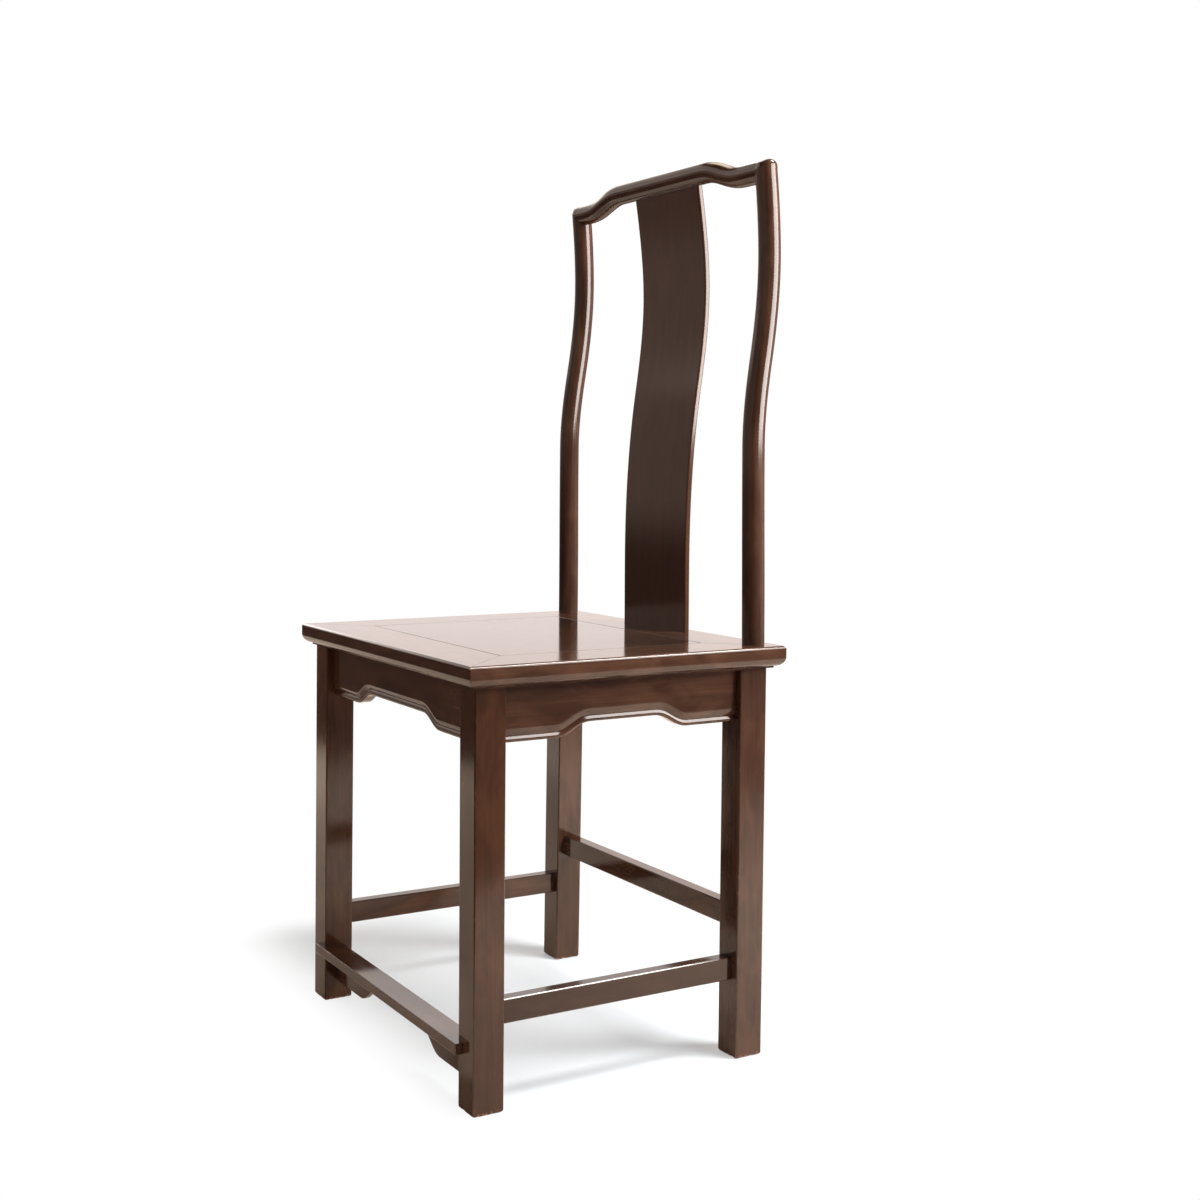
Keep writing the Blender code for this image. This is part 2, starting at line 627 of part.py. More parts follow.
def make_stretchers():
    for side in (LEFT, RIGHT):
        ends = [lambda z, s=side: inner_y(s, FRONT, z), lambda z, s=side: inner_y(s, REAR, z)]
        centre = leg_centre(side, FRONT, SIDE_STRETCHER_TOP - STRETCHER_HEIGHT / 2).x
        stretcher(f"side_stretcher_{SIDE_NAMES[side]}", 1, ends, centre, SIDE_STRETCHER_TOP,
                  (leg_name(side, FRONT), leg_name(side, REAR)))
    ends = [lambda z: inner_x(RIGHT, REAR, z), lambda z: inner_x(LEFT, REAR, z)]
    centre = leg_centre(LEFT, REAR, BACK_STRETCHER_TOP - STRETCHER_HEIGHT / 2).y
    stretcher("back_stretcher", 0, ends, centre, BACK_STRETCHER_TOP,
              (leg_name(RIGHT, REAR), leg_name(LEFT, REAR)))


def make_crest():
    span = post_axis(LEFT, CREST_END_HEIGHT).x
    y = post_axis(LEFT, CREST_END_HEIGHT).y
    points = []
    for i in range(CREST_RINGS + 1):
        x = span * (2 * i / CREST_RINGS - 1)
        rise = CREST_RAISE * smooth_step((span - abs(x) - CREST_SHOULDER) / CREST_OGEE)
        points.append(Vector((x, y, CREST_END_HEIGHT + rise)))
    bar = tube("crest", points, [CREST_RADIUS] * len(points))
    crest = piece("crest_rail", bar, (0, y, CREST_MID_HEIGHT))
    half = CREST_TENON / 2
    for side in (LEFT, RIGHT):
        xs = sorted((side * (span - POST_RADIUS), side * (span + CREST_TENON_REACH)))
        low = (xs[0], y - half, CREST_END_HEIGHT - half)
        high = (xs[1], y + half, CREST_END_HEIGHT + half)
        add_tenon("crest_rail", leg_name(side, REAR), low, high, 0, side)
    return crest


def splat_outline(thickness, z_low, z_high):
    """Side view of the splat between two heights."""
    foot = post_axis(LEFT, SEAT_HEIGHT).y + SPLAT_OFFSET + SPLAT_THICKNESS / 2
    front, back = [], []
    for i in range(SPLAT_STEPS + 1):
        z = z_low + (z_high - z_low) * i / SPLAT_STEPS
        y = foot + set_back(SPLAT_CURVE, (z - SEAT_HEIGHT) / BACK_RISE)
        front.append((y - thickness / 2, z))
        back.append((y + thickness / 2, z))
    return front + back[::-1]


def splat_body(growth, z_low, z_high):
    half = SPLAT_WIDTH / 2 + growth
    section = splat_outline(SPLAT_THICKNESS + 2 * growth, z_low, z_high)
    return prism([Vector((-half, y, z)) for y, z in section], Vector((2 * half, 0, 0)))


def make_back():
    crest = make_crest()
    low = SEAT_HEIGHT - SPLAT_HOUSING
    high = CREST_MID_HEIGHT - CREST_RADIUS + SPLAT_ENTRY
    foot_y = post_axis(LEFT, SEAT_HEIGHT).y
    piece("back_splat", splat_body(0.0, low, high), (0, foot_y, SEAT_HEIGHT), SPLAT_STAIN)
    room = tool("splat_room", splat_body(CLEARANCE, low - CLEARANCE, high + CLEARANCE))
    boolean(crest, room, 'DIFFERENCE')
    boolean(bpy.data.objects["seat_rail_back"], room, 'DIFFERENCE')
    for side in (LEFT, RIGHT):
        post_room = tool(f"post_room_{SIDE_NAMES[side]}", post_tube(side, CLEARANCE))
        for host in ("seat_rail_back", f"seat_rail_{SIDE_NAMES[side]}", "crest_rail"):
            boolean(bpy.data.objects[host], post_room, 'DIFFERENCE')


def cut_joints():
    """Give every piece its tenons, then its mortises."""
    for name, boxes in tenons.items():
        boolean(bpy.data.objects[name], tool(name + "_tenons", blocks(boxes)), 'UNION')
    for name, boxes in mortises.items():
        boolean(bpy.data.objects[name], tool(name + "_mortises", blocks(boxes)), 'DIFFERENCE')


def centre_depth():
    """Bring the middle of the chair's whole depth over the origin."""
    bpy.context.view_layer.update()
    graph = bpy.context.evaluated_depsgraph_get()
    depths = []
    for part in chair.children:
        if not part.hide_render:
            made = part.evaluated_get(graph)
            depths += [(made.matrix_world @ Vector(corner)).y for corner in made.bound_box]
    chair.location.y -= (min(depths) + max(depths)) / 2


clear_scene()
chair = bpy.data.objects.new("side_chair", None)
bpy.context.collection.objects.link(chair)
make_legs()
make_seat_frame()
make_panel()
make_battens()
make_aprons()
make_footrest()
make_stretchers()
make_back()
cut_joints()
centre_depth()
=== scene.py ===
import math

import bmesh
import bpy
from mathutils import Matrix, Vector, noise


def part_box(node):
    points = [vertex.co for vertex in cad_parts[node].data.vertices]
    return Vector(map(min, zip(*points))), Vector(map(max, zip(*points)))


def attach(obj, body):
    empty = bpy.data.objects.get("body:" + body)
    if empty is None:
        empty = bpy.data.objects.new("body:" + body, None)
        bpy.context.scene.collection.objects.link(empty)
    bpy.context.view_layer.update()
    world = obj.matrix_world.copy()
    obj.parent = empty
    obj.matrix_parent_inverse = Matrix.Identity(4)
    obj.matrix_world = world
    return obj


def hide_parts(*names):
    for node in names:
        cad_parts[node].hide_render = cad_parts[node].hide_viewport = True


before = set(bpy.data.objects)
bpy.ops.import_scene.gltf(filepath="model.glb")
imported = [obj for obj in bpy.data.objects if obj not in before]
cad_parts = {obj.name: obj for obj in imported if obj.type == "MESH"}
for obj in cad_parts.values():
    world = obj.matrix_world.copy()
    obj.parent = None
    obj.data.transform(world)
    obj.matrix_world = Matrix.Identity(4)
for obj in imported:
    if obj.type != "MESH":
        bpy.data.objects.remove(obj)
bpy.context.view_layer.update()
mm = 0.001
hairline = 0.1 * mm  # left open between neighbouring pieces
samePlace = 1e-6  # points nearer than this count as one, in metres
cutTolerance = 1e-7
slopeStep = 0.1 * mm  # to either side, where the slope of an apron's lower edge is taken
print("frame loaded:", len(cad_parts), "wooden pieces")


# Colours and nodes

def linearColour(code):
    parts = [int(code[k:k + 2], 16) / 255 for k in (1, 3, 5)]
    return [p / 12.92 if p <= 0.04045 else ((p + 0.055) / 1.055) ** 2.4 for p in parts] + [1.0]


def addNode(tree, kind, links, **settings):
    made = tree.nodes.new(kind)
    for key, value in settings.items():
        setattr(made, key, value)
    for key, value in links.items():
        if isinstance(value, bpy.types.NodeSocket):
            tree.links.new(value, made.inputs[key])
        else:
            made.inputs[key].default_value = value
    return made


# Stained hardwood under lacquer: brown-black stain that lies unevenly, fine drawn-out grain,
# a smooth film on top that mirrors at low angles, and rubbed edges where the paler wood shows.
# Pores are really about 0.2 mm wide; they are drawn at 0.8 mm so that they show.
hardwood = {
    "deep": "#28160e",
    "body": "#402a1f",
    "warm": "#5c4030",
    "worn": "#9a7459",
    "pore": (0.8, 13.0),  # across and along the grain, in mm
    "streak": (3.2, 150.0),
    "figure": (12.0, 90.0),
    "cloud": (30.0, 75.0),
    "ripple": (9.0, 30.0),
    "wearPatch": (5.0, 9.0),
    "footWear": (5.0, 18.0),  # heights of the scuffed bands on faces and on edges, in mm
    "rough": (0.09, 0.13),
    "roughFrom": (0.3, 0.7),  # ripple noise at the smoothest and the dullest film
    "warmth": 0.5,  # most that the warm clouds, the dark figure, the streaks and the pores show
    "contrast": 0.65,
    "streaks": 0.36,
    "pores": 0.26,
    "wornFrom": (0.60, 0.74),  # noise at which rubbed wood starts to show and is bare
    "bareLift": 0.14,  # added to that noise at the feet and corners
    "cornerFrom": (1.0, 2.0),  # edge wear above the first counts as a corner, fully at the second
    "wornShare": 0.7,
    "wornDulling": 0.25,  # roughness that the rubbing adds
    "poreDip": (0.03, 0.02),  # bump strength, and depth in mm
    "rippleWave": (0.04, 0.05),
    "filmIndex": 1.42,
}
grainNoises = (
    # name, detail, distortion
    ("figure", 2.5, 0.5),
    ("cloud", 2.0, 0.8),
    ("streak", 3.0, 0.0),
    ("pore", 1.0, 0.0),
    ("ripple", 1.0, 0.0),
    ("wearPatch", 2.0, 0.0),
)
stainLayers = (
    # noise, value at which it starts and is full, the look's value for how much shows, colour
    ("figure", 0.34, 0.70, "contrast", "deep"),
    ("cloud", 0.42, 0.70, "warmth", "warm"),
    ("streak", 0.40, 0.70, "streaks", "deep"),
    ("pore", 0.58, 0.72, "pores", "deep"),
)


def lacqueredHardwood(name, grainAxis, look):
    material = bpy.data.materials.new(name)
    material.use_nodes = True
    tree = material.node_tree
    tree.nodes.clear()
    place = addNode(tree, "ShaderNodeTexCoord", {}).outputs["Object"]

    grain = {}
    for noiseName, detail, distortion in grainNoises:
        across, along = look[noiseName]
        scale = [1 / (across * mm)] * 3
        scale["xyz".index(grainAxis)] = 1 / (along * mm)
        drawn = addNode(tree, "ShaderNodeMapping", {"Vector": place, "Scale": scale}).outputs[0]
        values = {"Vector": drawn, "Scale": 1.0, "Detail": detail, "Distortion": distortion}
        grain[noiseName] = addNode(tree, "ShaderNodeTexNoise", values).outputs["Fac"]

    edge = addNode(tree, "ShaderNodeAttribute", {}, attribute_name="edgeWear").outputs["Fac"]
    height = addNode(tree, "ShaderNodeSeparateXYZ", {0: place}).outputs["Z"]
    scuff, lowEdge = [addNode(tree, "ShaderNodeMapRange", {0: height, 1: band * mm, 2: 0.0}).outputs[0]
                      for band in look["footWear"]]
    rubbed = addNode(tree, "ShaderNodeMath", {0: edge, 1: scuff}, operation="MAXIMUM").outputs[0]
    starts, full = look["cornerFrom"]
    corner = addNode(tree, "ShaderNodeMapRange", {0: edge, 1: starts, 2: full}).outputs[0]
    bare = addNode(tree, "ShaderNodeMath", {0: lowEdge, 1: corner}, operation="MAXIMUM").outputs[0]
    lifted = {0: bare, 1: look["bareLift"], 2: grain["wearPatch"]}
    raised = addNode(tree, "ShaderNodeMath", lifted, operation="MULTIPLY_ADD").outputs[0]
    starts, full = look["wornFrom"]
    patchShare = addNode(tree, "ShaderNodeMapRange", {0: raised, 1: starts, 2: full}).outputs[0]
    wear = addNode(tree, "ShaderNodeMath", {0: rubbed, 1: patchShare}, operation="MULTIPLY",
                   use_clamp=True).outputs[0]
    values = {0: wear, 1: look["wornShare"]}
    wearShare = addNode(tree, "ShaderNodeMath", values, operation="MULTIPLY").outputs[0]

    layers = []
    for noiseName, starts, full, most, code in stainLayers:
        values = {0: grain[noiseName], 1: starts, 2: full, 4: look[most]}
        layers.append((addNode(tree, "ShaderNodeMapRange", values).outputs[0], code))
    # share of the deep colour mixed in over a whole piece, to draw it darker
    pieceDarkening = addNode(tree, "ShaderNodeAttribute", {}, attribute_name="pieceDarkening").outputs["Fac"]
    layers += [(pieceDarkening, "deep"), (wearShare, "worn")]
    colour = linearColour(look["body"])
    for share, code in layers:
        blend = {0: share, 6: colour, 7: linearColour(look[code])}
        colour = addNode(tree, "ShaderNodeMix", blend, data_type="RGBA").outputs[2]

    smooth, dull = look["rough"]
    starts, full = look["roughFrom"]
    values = {0: grain["ripple"], 1: starts, 2: full, 3: smooth, 4: dull}
    film = addNode(tree, "ShaderNodeMapRange", values).outputs[0]
    values = {0: wear, 1: look["wornDulling"], 2: film}
    dulled = addNode(tree, "ShaderNodeMath", values, operation="MULTIPLY_ADD").outputs[0]

    strength, depth = look["poreDip"]
    dips = {"Height": grain["pore"], "Strength": strength, "Distance": depth * mm}
    pitted = addNode(tree, "ShaderNodeBump", dips, invert=True).outputs[0]
    strength, depth = look["rippleWave"]
    waves = {"Height": grain["ripple"], "Strength": strength, "Distance": depth * mm, "Normal": pitted}
    relief = addNode(tree, "ShaderNodeBump", waves).outputs[0]

    shader = addNode(tree, "ShaderNodeBsdfPrincipled", {
        "Base Color": colour, "Roughness": dulled, "Normal": relief, "IOR": look["filmIndex"],
    })
    addNode(tree, "ShaderNodeOutputMaterial", {"Surface": shader.outputs[0]})
    return material


# The same finish on the front legs, rear legs, panel and splat, which differ a little in stain and figure
uprightLook = {**hardwood, "body": "#44291b", "warm": "#60402b", "contrast": 0.5}
postLook = {**hardwood, "body": "#3c281f", "warm": "#543a2c"}
panelLook = {**hardwood, "body": "#34221a", "warm": "#4c3529", "contrast": 0.45, "warmth": 0.4,
             "rough": (0.07, 0.10)}
splatLook = {**hardwood, "warmth": 0.12, "contrast": 0.25, "streaks": 0.03, "pores": 0.07}
uprightWood = lacqueredHardwood("lacqueredHardwoodUpright", "z", uprightLook)
postWood = lacqueredHardwood("lacqueredHardwoodPost", "z", postLook)
crosswiseWood = lacqueredHardwood("lacqueredHardwoodCrosswise", "x", hardwood)
lengthwiseWood = lacqueredHardwood("lacqueredHardwoodLengthwise", "y", hardwood)
splatWood = lacqueredHardwood("lacqueredHardwoodSplat", "z", splatLook)
panelWood = lacqueredHardwood("lacqueredHardwoodPanel", "x", panelLook)
print("wood finishes ready")


# Helpers for the pieces

# pieces drawn darker: this share of the deep colour is mixed into their whole colour
darkenedPieces = {"sideStretcherLeft": 0.8, "apronLeft": 0.15, "rearLegRight": 0.15, "frontLegLeft": 0.4}
shading = {"weld": 0.01 * mm, "sharpFrom": math.radians(40)}


def startPiece():
    bm = bmesh.new()
    bm.verts.layers.float.new("edgeWear")
    return bm


def softenEdges(bm, edges, width, segments, rub=0.0):
    rounded = bmesh.ops.bevel(bm, geom=edges, offset=width, offset_type="OFFSET", affect="EDGES",
                              segments=segments, profile=0.5, material=-1, clamp_overlap=True)
    wear = bm.verts.layers.float["edgeWear"]
    strip = set(rounded["faces"])
    for vert in {v for face in strip for v in face.verts}:
        inside = sum(face in strip for face in vert.link_faces) / len(vert.link_faces)
        vert[wear] = max(vert[wear], rub * (2 * inside - 1))


def growLoop(bm, loop):
    grown = bmesh.ops.extrude_edge_only(bm, edges=loop)["geom"]
    verts = [item for item in grown if isinstance(item, bmesh.types.BMVert)]
    fresh = set(verts)
    edges = [item for item in grown if isinstance(item, bmesh.types.BMEdge) and set(item.verts) <= fresh]
    return verts, edges


def finishPiece(name, bm, nodeName, finish):
    depth = bm.verts.layers.float.new("pieceDarkening")
    for vert in bm.verts:
        vert[depth] = darkenedPieces.get(name, 0.0)
    bmesh.ops.remove_doubles(bm, verts=bm.verts, dist=shading["weld"])
    bmesh.ops.recalc_face_normals(bm, faces=bm.faces)
    mesh = bpy.data.meshes.new(name)
    bm.to_mesh(mesh)
    bm.free()
    mesh.materials.append(finish)
    mesh.shade_smooth()
    mesh.set_sharp_from_angle(angle=shading["sharpFrom"])
    piece = bpy.data.objects.new(name, mesh)
    bpy.context.scene.collection.objects.link(piece)
    even = piece.modifiers.new("evenShading", "WEIGHTED_NORMAL")
    even.keep_sharp = True
    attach(piece, "root")
    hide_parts(nodeName)
    return piece


def smoothStep(share):
    # starts and ends level and without curvature
    share = min(max(share, 0.0), 1.0)
    return share ** 3 * (10 - 15 * share + 6 * share ** 2)


def bend(knots, share):
    # cubic from knot to knot with the knots' slopes, and straight past the last one
    for (s0, y0, d0), (s1, y1, d1) in zip(knots, knots[1:]):
        if share <= s1:
            span = s1 - s0
            t = max((share - s0) / span, 0.0)
            start = (2 * t ** 3 - 3 * t ** 2 + 1) * y0 + (t ** 3 - 2 * t ** 2 + t) * span * d0
            return (start + (3 * t ** 2 - 2 * t ** 3) * y1 + (t ** 3 - t ** 2) * span * d1) * mm
    return (knots[-1][1] + knots[-1][2] * (share - knots[-1][0])) * mm


# Seat frame: four mitred rails with a drawn-in moulding, and the panel between them

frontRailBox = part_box("seat_rail_front")
seat = {
    "halfWidth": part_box("seat_rail_left")[1].x,
    "front": frontRailBox[0].y,
    "back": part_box("seat_rail_back")[1].y,
    "top": frontRailBox[1].z,
    "underside": frontRailBox[0].z,
}
rail = {
    "width": 73.0 * mm,
    "arrisIn": 2.6 * mm,
    "arrisDown": 2.8 * mm,
    "arrisSteps": 14,
    "arrisPower": 1.4,  # 2 would be a round arris, 1 a flat chamfer
    "arrisRub": 0.02,
    "cornerRub": 2.0,
    "cornerSpot": 5.0 * mm,  # length of the rubbed spot at each corner
    "face": 13.3 * mm,
    "undercut": 10.6 * mm,
    "undercurve": 11.0 * mm,
    "undercurveSteps": 14,
    "innerArris": 0.35 * mm,
    "mitreArris": 0.25 * mm,
}
panel = {
    "thickness": 12.0 * mm,
    "sideReveal": 0.7 * mm,
    "endReveal": 1.1 * mm,
    "arris": 0.35 * mm,
    "arrisSteps": 3,
    "rub": 0.2,
}
batten = {"arris": 1.5 * mm, "arrisSteps": 3}


def seatRail(name, nodeName, corners, finish):
    # corners: the rail's two outer corners; inward is square to the line between them
    start, end = [Vector((x, y, seat["top"])) for x, y in corners]
    along = (end - start).normalized()
    inward = Vector((-along.y, along.x, 0))
    if inward.dot(Vector((0, (seat["front"] + seat["back"]) / 2, seat["top"])) - start) < 0:
        inward.negate()
    bm = startPiece()
    wear = bm.verts.layers.float["edgeWear"]
    section = []
    for step in range(rail["arrisSteps"] + 1):
        turn = math.pi / 2 * step / rail["arrisSteps"]
        over, down = [abs(part) ** (2 / rail["arrisPower"]) for part in (math.sin(turn), math.cos(turn))]
        section.append((rail["arrisIn"] * (1 - over), rail["arrisDown"] * (down - 1)))
    for step in range(rail["undercurveSteps"] + 1):
        turn = math.pi / 2 * step / rail["undercurveSteps"]
        down = -rail["face"] - rail["undercurve"] * math.sin(turn)
        section.append((rail["undercut"] * (1 - math.cos(turn)), down))
    depth = seat["underside"] - seat["top"]
    section += [(rail["undercut"], depth), (rail["width"], depth)]
    section += [(rail["width"], -rail["innerArris"]), (rail["width"] - rail["innerArris"], 0.0)]
    verts = [bm.verts.new(start + inward * u + Vector((0, 0, h))) for u, h in section]
    for vert in verts[1:rail["arrisSteps"]]:
        vert[wear] = rail["arrisRub"]
    loop = [bm.edges.new((verts[k - 1], verts[k])) for k in range(len(verts))]
    moved, _ = growLoop(bm, loop)
    bmesh.ops.translate(bm, verts=moved, vec=end - start)
    for corner, way in ((start, -along), (end, along)):
        cut = bmesh.ops.bisect_plane(
            bm, geom=bm.verts[:] + bm.edges[:] + bm.faces[:], dist=cutTolerance, clear_outer=True,
            plane_co=corner - way * hairline, plane_no=(way + inward).normalized())
        rim = [item for item in cut["geom_cut"] if isinstance(item, bmesh.types.BMEdge)]
        bmesh.ops.contextual_create(bm, geom=rim)
        bmesh.ops.recalc_face_normals(bm, faces=bm.faces)
        bmesh.ops.bevel(bm, geom=rim, offset=rail["mitreArris"], offset_type="OFFSET", affect="EDGES",
                        segments=1, profile=0.5, material=-1, clamp_overlap=True)
        bmesh.ops.bisect_plane(bm, geom=bm.verts[:] + bm.edges[:] + bm.faces[:], dist=cutTolerance,
                               plane_co=corner - way * rail["cornerSpot"], plane_no=way)
        for vert in bm.verts:
            if (vert.co - corner).length < rail["cornerSpot"] and vert[wear] > 0:
                vert[wear] = rail["cornerRub"]
    finishPiece(name, bm, nodeName, finish)


halfWidth = seat["halfWidth"]
seatRail("seatRailFront", "seat_rail_front",
         ((-halfWidth, seat["front"]), (halfWidth, seat["front"])), crosswiseWood)
seatRail("seatRailBack", "seat_rail_back",
         ((-halfWidth, seat["back"]), (halfWidth, seat["back"])), crosswiseWood)
seatRail("seatRailLeft", "seat_rail_left",
         ((halfWidth, seat["front"]), (halfWidth, seat["back"])), lengthwiseWood)
seatRail("seatRailRight", "seat_rail_right",
         ((-halfWidth, seat["front"]), (-halfWidth, seat["back"])), lengthwiseWood)


def plainBlock(bm, low, high):
    verts = bmesh.ops.create_cube(bm, size=1.0)["verts"]
    bmesh.ops.scale(bm, verts=verts, vec=high - low)
    bmesh.ops.translate(bm, verts=verts, vec=(low + high) / 2)
    return verts


def makePanel():
    inset = Vector((rail["width"] + panel["sideReveal"], rail["width"] + panel["endReveal"], 0))
    low = Vector((-halfWidth, seat["front"], seat["top"] - panel["thickness"])) + inset
    high = Vector((halfWidth, seat["back"], seat["top"])) - inset
    bm = startPiece()
    plainBlock(bm, low, high)
    rim = [edge for edge in bm.edges if all(vert.co.z > seat["top"] - mm for vert in edge.verts)]
    softenEdges(bm, rim, panel["arris"], panel["arrisSteps"], panel["rub"])
    finishPiece("seatPanel", bm, "seat_panel", panelWood)


makePanel()


def makeBattens():
    for side in ("left", "right"):
        low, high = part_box(f"seat_batten_{side}")
        under = seat["top"] - panel["thickness"] - hairline
        low = Vector((low.x, seat["front"] + rail["width"] + hairline, low.z))
        high = Vector((high.x, seat["back"] - rail["width"] - hairline, under))
        bm = startPiece()
        plainBlock(bm, low, high)
        lower = [edge for edge in bm.edges if all(vert.co.z < low.z + mm for vert in edge.verts)]
        softenEdges(bm, lower, batten["arris"], batten["arrisSteps"])
        finishPiece(f"seatBatten{side.title()}", bm, f"seat_batten_{side}", lengthwiseWood)


makeBattens()
print("seat frame and panel made")


# Legs: square, splayed, softened; the rear pair runs on into the round posts

leg = {
    "size": 38.0 * mm,
    "arris": 1.8 * mm,
    "arrisSteps": 8,
    "rub": 0.6,
    "footRound": 2.8 * mm,
    "footSteps": 6,
    "footCuts": 15,
    "footChip": 0.7 * mm,  # most that the scuffed lower edge is eaten away
    "chipSpread": 6.0 * mm,
    "rearRake": 3.0 * mm,
}
post = {
    "radius": 13.5 * mm,
    "sides": 48,
    "outward": 7.0 * mm,  # from the leg's centre, sideways and backwards alike
    "leanIn": 7.6 * mm,
    "rise": 558.0 * mm,
    "start": 9.0 * mm,  # above the seat frame's underside
    "rings": 64,
    "topRings": 14,
    "elbow": 4.0,  # how squarely the top turns into the crest; 2 would be a dome
    "topOpening": 0.001,  # keeps the last ring from closing to a point
    # share of the rise, set-back in mm, slope in mm per unit of share
    "knots": ((0.0, 0.0, 0.0), (0.42, -1.4, 0.0), (0.60, 8.2, 92.0),
              (0.82, 20.0, 0.0), (1.0, 14.2, -56.0)),
}


def legEnds(side, place):
    low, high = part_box(f"{place}_leg_{side}")
    half = leg["size"] / 2
    way = 1 if side == "left" else -1
    near, far = sorted((abs(low.x), abs(high.x)))
    footY = low.y + half
    topY = high.y - half
    if place == "rear":
        topY = footY + leg["rearRake"] * seat["underside"] / seat["top"]
    foot = Vector((way * (far - half), footY, 0.0))
    top = Vector((way * (near + half), topY, seat["underside"] - hairline))
    return foot, top


legLines = {(side, place): legEnds(side, place)
            for side in ("left", "right") for place in ("front", "rear")}


def legAt(side, place, height):
    foot, top = legLines[side, place]
    return foot.lerp(top, height / top.z)


def squareLeg(bm, foot, top):
    size = leg["size"]
    verts = bmesh.ops.create_cube(bm, size=1.0)["verts"]
    bmesh.ops.scale(bm, verts=verts, vec=(size, size, top.z - leg["footRound"]))
    bmesh.ops.translate(bm, verts=verts, vec=foot + Vector((0, 0, (top.z + leg["footRound"]) / 2)))
    upper = [vert for vert in verts if vert.co.z > top.z / 2]
    bmesh.ops.translate(bm, verts=upper, vec=(top.x - foot.x, top.y - foot.y, 0))
    uprights = [edge for edge in bm.edges if abs(edge.verts[0].co.z - edge.verts[1].co.z) > top.z / 2]
    softenEdges(bm, uprights, leg["arris"], leg["arrisSteps"], leg["rub"])
    sole = min(bm.faces, key=lambda face: face.calc_center_median().z)
    bmesh.ops.delete(bm, geom=[sole], context="FACES_ONLY")
    longSides = [edge for edge in bm.edges if edge.is_boundary and edge.calc_length() > size / 2]
    bmesh.ops.subdivide_edges(bm, edges=longSides, cuts=leg["footCuts"])
    loop = [edge for edge in bm.edges if edge.is_boundary]
    wear = bm.verts.layers.float["edgeWear"]
    middle = Matrix.Translation(-foot)
    here = 0.0
    for step in range(1, leg["footSteps"] + 1):
        turn = math.pi / 2 * step / leg["footSteps"]
        inset = leg["footRound"] * (1 - math.cos(turn))
        ring, loop = growLoop(bm, loop)
        shrink = (size / 2 - inset) / (size / 2 - here)
        bmesh.ops.scale(bm, verts=ring, vec=(shrink, shrink, 1), space=middle)
        here = inset
        for vert in ring:
            vert.co.z = leg["footRound"] * (1 - math.sin(turn))
            vert[wear] = 1.0
            if step < leg["footSteps"]:
                bite = max(noise.noise(vert.co / leg["chipSpread"]), 0.0) * leg["footChip"]
                vert.co += ((foot - vert.co) * Vector((1, 1, 0))).normalized() * bite
    bmesh.ops.contextual_create(bm, geom=loop)


def postAxis(side, height):
    way = 1 if side == "left" else -1
    root = legAt(side, "rear", seat["top"])
    share = (height - seat["top"]) / post["rise"]
    x = root.x + way * (post["outward"] - post["leanIn"] * share)
    return Vector((x, root.y + post["outward"] + bend(post["knots"], share), height))


def makeFrontLeg(side):
    bm = startPiece()
    squareLeg(bm, *legLines[side, "front"])
    finishPiece(f"frontLeg{side.title()}", bm, f"front_leg_{side}", uprightWood)


def makeRearLeg(side):
    bm = startPiece()
    foot, top = legLines[side, "rear"]
    squareLeg(bm, foot, top)
    cap = max(bm.faces, key=lambda face: face.calc_center_median().z)
    shoulder = list(cap.edges)
    bmesh.ops.delete(bm, geom=[cap], context="FACES_ONLY")

    begin = seat["underside"] + post["start"]
    crestEnd = seat["top"] + post["rise"]
    ring = bmesh.ops.create_circle(bm, cap_ends=False, segments=post["sides"],
                                   radius=post["radius"])["verts"]
    loop = list({edge for vert in ring for edge in vert.link_edges})
    bmesh.ops.translate(bm, verts=ring, vec=postAxis(side, begin))
    bmesh.ops.bridge_loops(bm, edges=shoulder + loop)
    lean = 0.0
    here = postAxis(side, begin)
    for step in range(1, post["rings"] + 1):
        height = begin + (crestEnd - begin) * step / post["rings"]
        there = postAxis(side, height)
        ahead = postAxis(side, height + mm) - postAxis(side, height - mm)
        turn = math.atan2(ahead.y, ahead.z)
        ring, loop = growLoop(bm, loop)
        bmesh.ops.translate(bm, verts=ring, vec=there - here)
        bmesh.ops.rotate(bm, verts=ring, cent=there, matrix=Matrix.Rotation(lean - turn, 3, "X"))
        here, lean = there, turn
    bmesh.ops.rotate(bm, verts=ring, cent=here, matrix=Matrix.Rotation(lean, 3, "X"))
    power = post["elbow"]
    for step in range(1, post["topRings"] + 1):
        turn = math.pi / 2 * step / post["topRings"]
        reach = post["radius"] * max(math.cos(turn), post["topOpening"]) ** (2 / power)
        ring, loop = growLoop(bm, loop)
        for vert in ring:
            spot = ((vert.co - here) * Vector((1, 1, 0))).normalized() * reach
            half = math.sqrt(post["radius"] ** 2 - spot.y ** 2)
            spot.z = half * max(1 - (abs(spot.x) / half) ** power, 0.0) ** (1 / power)
            vert.co = here + spot
    bmesh.ops.contextual_create(bm, geom=loop)
    finishPiece(f"rearLeg{side.title()}", bm, f"rear_leg_{side}", postWood)


for side in ("left", "right"):
    makeFrontLeg(side)
    makeRearLeg(side)
print("legs and posts made")


# Crest rail and splat

crest = {
    "radius": 13.3 * mm,
    "sides": 48,
    "raise": 15.7 * mm,
    "shoulder": 29.0 * mm,
    "ogee": 93.5 * mm,
    "aside": -7.9 * mm,  # the raised part stands a little to one side
    "rings": 130,
}
splat = {
    "width": 147.0 * mm,
    "thickness": 8.0 * mm,
    "edge": 2.4 * mm,
    "edgeSteps": 5,
    "edgeTurn": 1.0,  # faces that meet at more than this many radians get the rounded edge
    "behindPost": 1.2 * mm,
    "entry": 8.0 * mm,
    "steps": 72,
    "knots": ((0.0, 0.0, 0.0), (0.16, -0.3, 0.0), (0.555, 14.4, 84.0),
              (0.77, 25.7, 0.0), (1.03, 10.0, -92.0)),
}


def crestHeight(x, span):
    lift = smoothStep((span - abs(x - crest["aside"]) - crest["shoulder"]) / crest["ogee"])
    return seat["top"] + post["rise"] + crest["raise"] * lift


